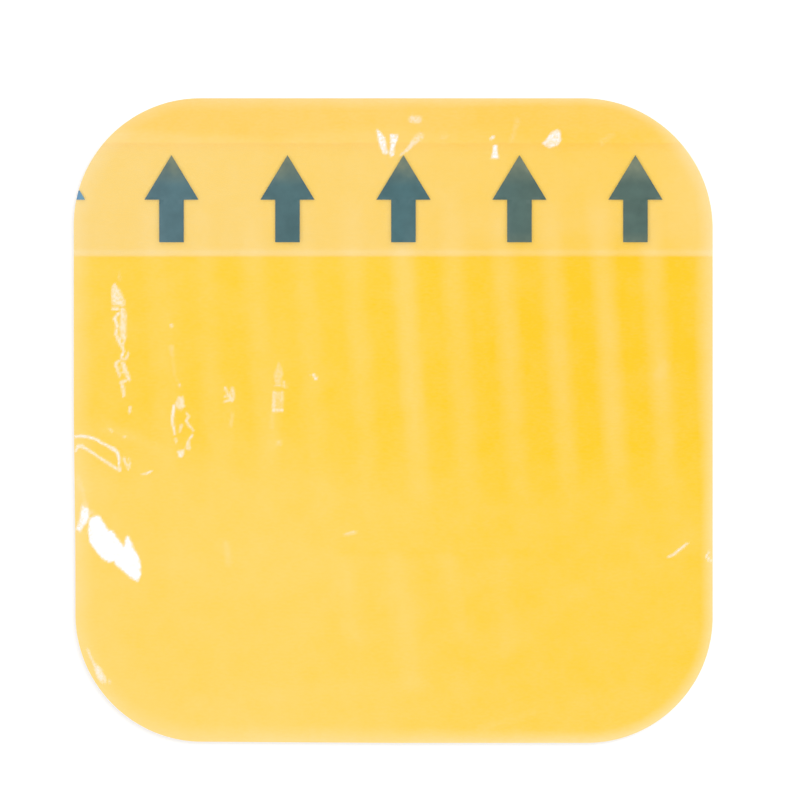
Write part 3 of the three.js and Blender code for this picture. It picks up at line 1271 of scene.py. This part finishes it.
        small_marks = [
            facet(
                0.28, (-25.4, 5.3), (-25.0, 5.2), (-24.7, 3.9), (-25.0, 3.0), (-25.4, 2.9),
                (-25.7, 3.5), (-25.5, 4.3),
            ),
            crease(0.36, (-26.3, 5.1, 0.18), (-25.9, 4.3, 0.22), (-25.5, 3.7, 0.20)),
            crease(0.38, (-26.4, 3.0, 0.16), (-25.4, 3.2, 0.18)),
            crease(0.25, (-26.4, 3.8, 0.14), (-25.8, 3.8, 0.16)),
            crease(0.1, (-25.2, 1.0, 0.27), (-25.4, -0.8, 0.22), soft=0.4),
            facet(
                0.16, (-18.0, 9.2), (-17.5, 8.4), (-17.3, 7.5), (-17.4, 6.3), (-17.7, 5.5),
                (-18.4, 5.4), (-18.7, 7.1), (-18.3, 8.3),
            ),
            crease(0.25, (-17.1, 6.0, 0.22), (-17.0, 5.2, 0.18)),
            crease(0.25, (-18.5, 5.5, 0.12), (-17.1, 5.4, 0.12)),
            facet(0.13, (-18.9, 4.5), (-17.1, 4.5), (-17.2, 1.4), (-19.0, 1.3)),
            crease(0.3, (-18.6, 4.4, 0.23), (-18.7, 1.8, 0.27)),
            crease(0.38, (-18.7, 1.6, 0.23), (-17.4, 1.6, 0.22)),
            crease(0.3, (-17.4, 4.4, 0.18), (-17.5, 3.2, 0.20)),
            crease(0.2, (-18.0, 4.4, 0.12), (-18.0, 3.6, 0.14)),
            crease(0.06, (-18.9, 0.8, 0.20), (-19.0, -1.1, 0.23), soft=0.5),
            crease(0.13, (-18.0, -3.5, 0.35), (-17.8, -3.5, 0.35), soft=0.6),
            crease(0.5, (-12.5, 7.2, 0.16), (-12.1, 6.5, 0.20)),
            crease(
                0.5, (43.1, -21.3, 0.12), (43.9, -21.0, 0.18), (44.9, -20.1, 0.18),
                (45.8, -19.4, 0.14), (46.1, -19.2, 0.08),
            ),
            crease(
                0.5, (49.5, -20.4, 0.08), (49.0, -21.2, 0.16), (49.4, -21.7, 0.18),
                (49.8, -22.0, 0.14),
            ),
            crease(0.24, (-7.2, -17.8, 0.18), (-6.8, -17.8, 0.10), (-6.3, -17.5, 0.22)),
            crease(0.28, (-48.1, -35.9, 0.20), (-47.6, -37.2, 0.18), (-46.9, -38.5, 0.22)),
            facet(
                0.52, (-47.1, -38.5), (-46.6, -38.4), (-45.8, -39.5), (-45.2, -40.7), (-45.4, -41.0),
                (-46.1, -41.0), (-46.7, -40.1),
            ),
            crease(0.25, (-46.0, -41.0, 0.16), (-44.5, -41.0, 0.16)),
            facet(
                0.05, (41.4, 9.8), (42.6, 9.6), (43.1, 8.6), (42.6, 6.7), (41.0, 6.5), (40.6, 7.5),
                (41.6, 8.4), soft=1.0,
            ),
            crease(0.07, (-26.2, -19.3, 0.35), (-25.8, -22.3, 0.43), soft=0.8),
        ]
        return [*big_crumple, *side_loop, *long_streak, *ring, *small_marks]

    def build(self) -> bpy.types.Object:
        """Lays the film's grid over the tunnels, fine where it is creased, and dresses it."""
        columns = self.die.columns(
            0.9,
            (-50, -37.5, 0.25),
            (-35.2, -30.8, 0.22),
            (-27.0, -24.2, 0.22),
            (-19.4, -16.8, 0.22),
            (-12.8, -11.9, 0.22),
            (42.5, 50, 0.32),
        )
        rows = graded(
            -self.die.half_length,
            self.stack.hidden_edge,
            0.9,
            (-42.0, -35.0, 0.32),
            (-26.0, -13.5, 0.3),
            (-9.0, 6.5, 0.22),
            (6.5, 22.8, 0.3),
        )
        x, y = self.die.lay(columns, rows)
        # Lifts the film by the positive part of each fold's painted-reflection level.
        swell = sum(np.clip(fold.shade(x, y), 0, None) for fold in FOLDS) * self.swell
        under_tab = smooth(self.stack.free_edge - 4, self.stack.free_edge, y)
        low = self.stack.sheet_top + self.stack.slip + TUNNELS.lift(x, y) + swell * (1 - under_tab)
        piece = slab("tunnelled_liner", *self.die.off_die(x, y), low, low + self.stack.film - self.stack.slip)
        carry(piece, "crease", crease_faces(self.creases(), x, y), under=UNDERSIDE_SHARE)
        piece.data.materials.append(self.finish.make())
        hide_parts("main_release_liner")
        return piece


@dataclass
class TabLiner:
    """The tab liner: draped over the main liner and its tunnels, then down a ramp onto the bare sheet."""

    die: DieLine
    stack: Stack
    clearance: float = 0.02
    finish: ReleaseFilmFinish = field(default_factory=lambda: ReleaseFilmFinish("polyester_tab_liner"))

    def low_at(self, x: np.ndarray, y: np.ndarray) -> np.ndarray:
        """The film's underside: the draped part and the seat, joined by a smooth step in y.

        Args:
            x: Places across the dressing.
            y: Places along it.

        Returns:
            The height there: draped over the main liner, then down a step from just past the
            hidden edge to the contact line.
        """
        start = self.stack.hidden_edge + 0.05
        run = np.clip((y - start) / np.maximum(self.stack.contact_line(x) - start, 1.0), 0, 1)
        seat = self.stack.sheet_top + self.stack.slip
        draped = self.stack.sheet_top + self.stack.film + self.clearance + TUNNELS.drape(x, y)
        return draped + (seat - draped) * run * run * (3 - 2 * run)

    def creases(self) -> list[Crease | Facet]:
        """The creases: a fan and some dots where the film goes down its ramp."""
        return [
            facet(
                0.74, (-2.6, 45.6), (-2.0, 45.1), (-1.3, 44.2), (-1.1, 42.9), (-0.8, 42.0),
                (-1.2, 41.6), (-1.6, 41.9), (-2.1, 43.1), (-2.4, 44.2),
            ),
            facet(
                0.74, (-0.5, 44.8), (0.8, 44.7), (0.6, 43.8), (0.2, 42.9), (0.1, 41.5), (-0.3, 41.3),
                (-0.6, 41.8), (-0.4, 43.1),
            ),
            crease(0.36, (1.2, 41.6, 0.16), (2.3, 42.5, 0.27), (3.4, 43.8, 0.45)),
            crease(0.25, (3.4, 43.8, 0.45), (4.2, 44.5, 0.54), soft=0.5),
            crease(0.34, (3.0, 47.2, 0.49), (3.9, 47.1, 0.49), soft=0.6),
            crease(0.08, (7.8, 44.4, 0.31), (8.0, 44.4, 0.31), soft=0.4),
            crease(0.7, (15.3, 44.2, 0.20), (15.7, 44.4, 0.20)),
            facet(
                0.8, (15.7, 43.1), (16.2, 43.1), (16.3, 42.0), (16.5, 41.1), (15.3, 41.1),
                (15.6, 42.1),
            ),
            crease(0.07, (18.5, 43.8, 0.29), (19.0, 45.3, 0.29), (19.5, 46.9, 0.40), soft=0.6),
            facet(
                0.62, (25.7, 45.6), (26.1, 45.2), (26.3, 44.0), (25.8, 43.1), (24.4, 42.7),
                (23.8, 43.0), (23.3, 43.4), (24.0, 44.1), (24.7, 45.1),
            ),
            crease(0.06, (32.5, 43.3, 0.28), (33.2, 44.2, 0.34), (34.3, 44.7, 0.28), soft=0.5),
        ]

    def build(self) -> bpy.types.Object:
        """Lays the film's grid, fine along the ramp, and dresses it."""
        columns = self.die.columns(0.6, (-4, 6, 0.22), (14, 28, 0.22))
        rows = graded(self.stack.free_edge, self.die.half_length, 0.9, (40.8, 48, 0.25))
        x, y = self.die.lay(columns, rows)
        low = self.low_at(x, y)
        piece = slab("arrow_tab_liner", *self.die.off_die(x, y), low, low + self.stack.film - self.stack.slip)
        carry(piece, "crease", crease_faces(self.creases(), x, y), under=UNDERSIDE_SHARE)
        piece.data.materials.append(self.finish.make())
        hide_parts("tab_release_liner")
        return piece


@dataclass
class ArrowPrint:
    """The row of arrows, printed on the tab liner before the die cut it."""

    die: DieLine
    stack: Stack
    tab: TabLiner
    head_width: float = 8.5
    head_height: float = 7.0
    shaft_width: float = 3.85
    shaft_length: float = 6.65
    margin: float = 2.2
    pitch: float = 18.15
    shift: float = 1.6
    creep: float = 0.4
    trim: float = 0.03
    narrowest: float = 0.02
    blunt: float = 0.04
    clearance: float = 0.001
    finish: InkFinish = field(default_factory=InkFinish)

    def half_width(self, up: np.ndarray) -> np.ndarray:
        """Half the arrow's width at a height over its foot: the shaft's, then a straight taper.

        Args:
            up: Heights over the foot.

        Returns:
            The half width there.
        """
        taper = self.head_width / 2 * (self.shaft_length + self.head_height - up) / self.head_height
        return np.where(up <= self.shaft_length, self.shaft_width / 2, taper)

    def arrow(self, number: int, centre: float, material: bpy.types.Material) -> bpy.types.Object:
        """Makes one arrow as a thin coat of ink on the film, cut by the die where it runs over.

        Args:
            number: Which arrow of the row it is, counted from the left.
            centre: Its middle line's x.
            material: The ink.

        Returns:
            The piece.
        """
        height = self.shaft_length + self.head_height
        shaft = np.linspace(0, self.shaft_length, 9)
        head = np.linspace(self.shaft_length + 0.01, height - self.blunt, 15)
        up = np.concatenate((shaft, head))
        foot = self.stack.free_edge + self.margin
        reach = self.die.side_at(foot + up, np.full_like(up, centre)) - self.trim
        left = np.maximum(centre - self.half_width(up), -reach)
        right = np.minimum(centre + self.half_width(up), reach)
        kept = right - left > self.narrowest
        across = np.linspace(0, 1, 13)
        x = left[kept] + across[:, None] * (right - left)[kept]
        y = np.broadcast_to(foot + up[kept], x.shape)
        low = self.tab.low_at(x, y) + self.stack.film - self.stack.slip
        coat = self.stack.ink_high - self.stack.tab_high
        piece = slab(f"ink_arrow_{number}", x, y, low + self.clearance, low + coat)
        tip = smooth(self.shaft_length + 1.8, height - 1, y - foot)
        carry(piece, "fade", tip + 0.35 * smooth(1.6, 0.3, y - foot) * smooth(0, 20, x))
        piece.visible_shadow = False
        piece.data.materials.append(material)
        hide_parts(f"printed_arrow_{number}")
        return piece

    def build(self) -> list[bpy.types.Object]:
        """Makes the six arrows with one ink."""
        material = self.finish.make()
        centres = [self.shift + self.pitch * place for place in range(-3, 3)]
        centres[0] += self.creep
        return [self.arrow(i + 1, centre, material) for i, centre in enumerate(centres)]


@dataclass
class Studio:
    """The table, the pale room, the lamps and the camera."""

    frame_width: float = 125.27
    middle: tuple[float, float] = (1.06, 3.22)
    camera_height: float = 2.0
    table_side: float = 6.0
    table_white: float = 0.88
    seen_white: float = 0.45
    seen_lift: float = 0.66
    ceiling_start: float = 0.62
    ceiling_full: float = 0.94
    ceiling_glow: float = 0.2

    def table(self) -> None:
        """Adds the white table. The camera sees it lifted to clean white, with the shadow kept."""
        half = self.table_side / 2
        mesh = bpy.data.meshes.new("table")
        corners = [(-half, -half, 0), (half, -half, 0), (half, half, 0), (-half, half, 0)]
        mesh.from_pydata(corners, [], [(0, 1, 2, 3)])
        table = bpy.data.objects.new("table", mesh)
        bpy.context.scene.collection.objects.link(table)
        material, tree = blank("white_table")
        seen = node(tree, "ShaderNodeLightPath").outputs["Is Camera Ray"]
        plain = node(tree, "ShaderNodeBsdfDiffuse", {"Color": (*(self.table_white,) * 3, 1)})
        shaded = node(tree, "ShaderNodeBsdfDiffuse", {"Color": (*(self.seen_white,) * 3, 1)})
        lift = node(tree, "ShaderNodeEmission", {"Color": (1, 1, 1, 1), "Strength": self.seen_lift})
        white = node(tree, "ShaderNodeAddShader", None, {0: shaded.outputs[0], 1: lift.outputs[0]})
        mixed = node(tree, "ShaderNodeMixShader", None, {0: seen, 1: plain.outputs[0], 2: white.outputs[0]})
        node(tree, "ShaderNodeOutputMaterial", None, {"Surface": mixed.outputs[0]})
        mesh.materials.append(material)

    def room(self) -> None:
        """Lights the room: white walls, and a dim ceiling that keeps the film clear from above."""
        world = bpy.data.worlds.new("pale_room")
        world.use_nodes = True
        tree = world.node_tree
        tree.nodes.clear()
        towards = node(tree, "ShaderNodeTexCoord").outputs["Generated"]
        up = node(tree, "ShaderNodeSeparateXYZ", None, {0: towards}).outputs["Z"]
        glow = node(
            tree,
            "ShaderNodeMapRange",
            {
                "interpolation_type": "SMOOTHSTEP",
                "From Min": self.ceiling_start,
                "From Max": self.ceiling_full,
                "To Min": 1.0,
                "To Max": self.ceiling_glow,
            },
            {"Value": up},
        )
        walls = node(
            tree,
            "ShaderNodeBackground",
            {"Color": (1, 1, 1, 1)},
            {"Strength": glow.outputs["Result"]},
        )
        node(tree, "ShaderNodeOutputWorld", None, {"Surface": walls.outputs[0]})
        bpy.context.scene.world = world

    def camera(self) -> None:
        """Adds the camera, straight above. Its lens makes the frame as wide as the photograph's."""
        lens = bpy.data.cameras.new("overhead_camera")
        lens.lens = lens.sensor_width * self.camera_height / (self.frame_width * MM)
        camera = bpy.data.objects.new("overhead_camera", lens)
        camera.location = (self.middle[0] * MM, self.middle[1] * MM, self.camera_height)
        bpy.context.scene.collection.objects.link(camera)
        bpy.context.scene.camera = camera

    def build(self) -> None:
        """Sets up the whole studio."""
        self.table()
        self.room()
        for softbox in (KEY_LAMP, FILL_BOARD, SIDE_LAMP):
            softbox.hang()
        self.camera()
        bpy.context.scene.view_settings.view_transform = "Standard"


def main() -> None:
    """Builds the dressing from the table up."""
    logging.basicConfig(level=logging.INFO, format="%(name)s: %(message)s")
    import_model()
    Studio().build()
    sheet_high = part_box("hydrocolloid_sheet")[1]
    die = DieLine(half_width=sheet_high.x / MM, half_length=sheet_high.y / MM)
    stack = Stack.from_frame()
    tab = TabLiner(die, stack)
    pieces = [
        BackingFilm(die, stack).build(),
        HydrocolloidSheet(die, stack).build(),
        MainLiner(die, stack).build(),
        tab.build(),
        *ArrowPrint(die, stack, tab).build(),
    ]
    for piece in pieces:
        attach(piece, BODY)
        log.info("%s: %d faces", piece.name, len(piece.data.polygons))


if __name__ == "__main__":
    main()
